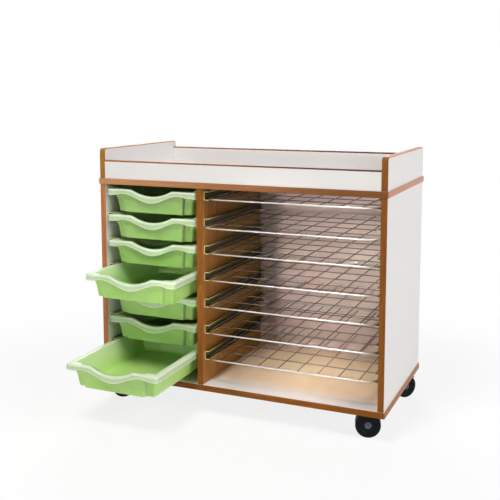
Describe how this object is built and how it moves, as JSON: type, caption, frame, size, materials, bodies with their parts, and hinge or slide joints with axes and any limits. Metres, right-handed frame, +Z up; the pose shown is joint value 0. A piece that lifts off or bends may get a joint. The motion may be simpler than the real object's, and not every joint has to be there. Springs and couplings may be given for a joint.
{
  "type": "painting cabinet",
  "caption": "Wheeled white classroom cabinet with shallow green plastic trays on one side, wire sheet-drying shelves on the other and a raised edge round its top.",
  "frame": {"origin": "on the floor, under the middle of the bounding box of the object as it stands, with two trays and one shelf pulled out", "axes": "+X to the right across the width seen from the front, +Y to the back, +Z up"},
  "size_m": [0.938, 0.715, 0.825],
  "materials": {
    "white_board": "white melamine faces, wood-coloured edge bands",
    "runner_plastic": "extruded olive-yellow plastic",
    "tray_plastic": "moulded translucent green plastic",
    "chrome_wire": "bright chromed steel wire",
    "castor_housing": "moulded black nylon",
    "castor_wheels": "moulded black nylon with a grey hub"
  },
  "bodies": {
    "cabinet": {"base_board": "white_board", "top_board": "white_board", "left_side_panel": "white_board", "right_side_panel": "white_board", "divider_panel": "white_board", "back_panel": "white_board", "left_cheek": "white_board", "right_cheek": "white_board", "front_rail": "white_board", "back_rail": "white_board", "tray_runner_left_1": "runner_plastic", "tray_runner_left_2": "runner_plastic", "tray_runner_left_3": "runner_plastic", "tray_runner_left_4": "runner_plastic", "tray_runner_left_5": "runner_plastic", "tray_runner_left_6": "runner_plastic", "tray_runner_left_7": "runner_plastic", "tray_runner_right_1": "runner_plastic", "tray_runner_right_2": "runner_plastic", "tray_runner_right_3": "runner_plastic", "tray_runner_right_4": "runner_plastic", "tray_runner_right_5": "runner_plastic", "tray_runner_right_6": "runner_plastic", "tray_runner_right_7": "runner_plastic", "shelf_runner_left_1": "runner_plastic", "shelf_runner_left_2": "runner_plastic", "shelf_runner_left_3": "runner_plastic", "shelf_runner_left_4": "runner_plastic", "shelf_runner_left_5": "runner_plastic", "shelf_runner_left_6": "runner_plastic", "shelf_runner_left_7": "runner_plastic", "shelf_runner_right_1": "runner_plastic", "shelf_runner_right_2": "runner_plastic", "shelf_runner_right_3": "runner_plastic", "shelf_runner_right_4": "runner_plastic", "shelf_runner_right_5": "runner_plastic", "shelf_runner_right_6": "runner_plastic", "shelf_runner_right_7": "runner_plastic"},
    "tray_1": {"tray_1": "tray_plastic"},
    "tray_2": {"tray_2": "tray_plastic"},
    "tray_3": {"tray_3": "tray_plastic"},
    "tray_4": {"tray_4": "tray_plastic"},
    "tray_5": {"tray_5": "tray_plastic"},
    "tray_6": {"tray_6": "tray_plastic"},
    "tray_7": {"tray_7": "tray_plastic"},
    "wire_shelf_1": {"wire_shelf_1": "chrome_wire"},
    "wire_shelf_2": {"wire_shelf_2": "chrome_wire"},
    "wire_shelf_3": {"wire_shelf_3": "chrome_wire"},
    "wire_shelf_4": {"wire_shelf_4": "chrome_wire"},
    "wire_shelf_5": {"wire_shelf_5": "chrome_wire"},
    "wire_shelf_6": {"wire_shelf_6": "chrome_wire"},
    "wire_shelf_7": {"wire_shelf_7": "chrome_wire"},
    "castor_swivel_front_left": {"castor_housing_front_left": "castor_housing"},
    "castor_wheels_front_left": {"castor_wheels_front_left": "castor_wheels"},
    "castor_swivel_front_right": {"castor_housing_front_right": "castor_housing"},
    "castor_wheels_front_right": {"castor_wheels_front_right": "castor_wheels"},
    "castor_swivel_rear_left": {"castor_housing_rear_left": "castor_housing"},
    "castor_wheels_rear_left": {"castor_wheels_rear_left": "castor_wheels"},
    "castor_swivel_rear_right": {"castor_housing_rear_right": "castor_housing"},
    "castor_wheels_rear_right": {"castor_wheels_rear_right": "castor_wheels"}
  },
  "joints": [
    {"name": "tray_1_slide", "type": "slide", "parent": "cabinet", "child": "tray_1", "axis": [0, -1, 0], "range_m": [0, 0.3]},
    {"name": "tray_2_slide", "type": "slide", "parent": "cabinet", "child": "tray_2", "axis": [0, -1, 0], "range_m": [0, 0.3]},
    {"name": "tray_3_slide", "type": "slide", "parent": "cabinet", "child": "tray_3", "axis": [0, -1, 0], "range_m": [0, 0.3]},
    {"name": "tray_4_slide", "type": "slide", "parent": "cabinet", "child": "tray_4", "axis": [0, -1, 0], "range_m": [-0.133, 0.167]},
    {"name": "tray_5_slide", "type": "slide", "parent": "cabinet", "child": "tray_5", "axis": [0, -1, 0], "range_m": [0, 0.3]},
    {"name": "tray_6_slide", "type": "slide", "parent": "cabinet", "child": "tray_6", "axis": [0, -1, 0], "range_m": [0, 0.3]},
    {"name": "tray_7_slide", "type": "slide", "parent": "cabinet", "child": "tray_7", "axis": [0, -1, 0], "range_m": [-0.243, 0.057]},
    {"name": "wire_shelf_1_slide", "type": "slide", "parent": "cabinet", "child": "wire_shelf_1", "axis": [0, -1, 0], "range_m": [0, 0.3]},
    {"name": "wire_shelf_2_slide", "type": "slide", "parent": "cabinet", "child": "wire_shelf_2", "axis": [0, -1, 0], "range_m": [-0.03, 0.27]},
    {"name": "wire_shelf_3_slide", "type": "slide", "parent": "cabinet", "child": "wire_shelf_3", "axis": [0, -1, 0], "range_m": [0, 0.3]},
    {"name": "wire_shelf_4_slide", "type": "slide", "parent": "cabinet", "child": "wire_shelf_4", "axis": [0, -1, 0], "range_m": [0, 0.3]},
    {"name": "wire_shelf_5_slide", "type": "slide", "parent": "cabinet", "child": "wire_shelf_5", "axis": [0, -1, 0], "range_m": [0, 0.3]},
    {"name": "wire_shelf_6_slide", "type": "slide", "parent": "cabinet", "child": "wire_shelf_6", "axis": [0, -1, 0], "range_m": [0, 0.3]},
    {"name": "wire_shelf_7_slide", "type": "slide", "parent": "cabinet", "child": "wire_shelf_7", "axis": [0, -1, 0], "range_m": [0, 0.3]},
    {"name": "castor_front_left_swivel", "type": "hinge", "parent": "cabinet", "child": "castor_swivel_front_left", "pos_m": [-0.418, -0.0525, 0.082], "axis": [0, 0, 1], "continuous": true},
    {"name": "castor_front_left_roll", "type": "hinge", "parent": "castor_swivel_front_left", "child": "castor_wheels_front_left", "pos_m": [-0.4284, -0.06187, 0.0375], "axis": [0.6691, -0.7431, 0], "continuous": true},
    {"name": "castor_front_right_swivel", "type": "hinge", "parent": "cabinet", "child": "castor_swivel_front_right", "pos_m": [0.418, -0.0525, 0.082], "axis": [0, 0, 1], "continuous": true},
    {"name": "castor_front_right_roll", "type": "hinge", "parent": "castor_swivel_front_right", "child": "castor_wheels_front_right", "pos_m": [0.40454, -0.05636, 0.0375], "axis": [0.2756, -0.9613, 0], "continuous": true},
    {"name": "castor_rear_left_swivel", "type": "hinge", "parent": "cabinet", "child": "castor_swivel_rear_left", "pos_m": [-0.418, 0.2895, 0.082], "axis": [0, 0, 1], "continuous": true},
    {"name": "castor_rear_left_roll", "type": "hinge", "parent": "castor_swivel_rear_left", "child": "castor_wheels_rear_left", "pos_m": [-0.425, 0.30162, 0.0375], "axis": [-0.866, -0.5, 0], "continuous": true},
    {"name": "castor_rear_right_swivel", "type": "hinge", "parent": "cabinet", "child": "castor_swivel_rear_right", "pos_m": [0.418, 0.2895, 0.082], "axis": [0, 0, 1], "continuous": true},
    {"name": "castor_rear_right_roll", "type": "hinge", "parent": "castor_swivel_rear_right", "child": "castor_wheels_rear_right", "pos_m": [0.42737, 0.2999, 0.0375], "axis": [-0.7431, 0.6691, 0], "continuous": true}
  ]
}
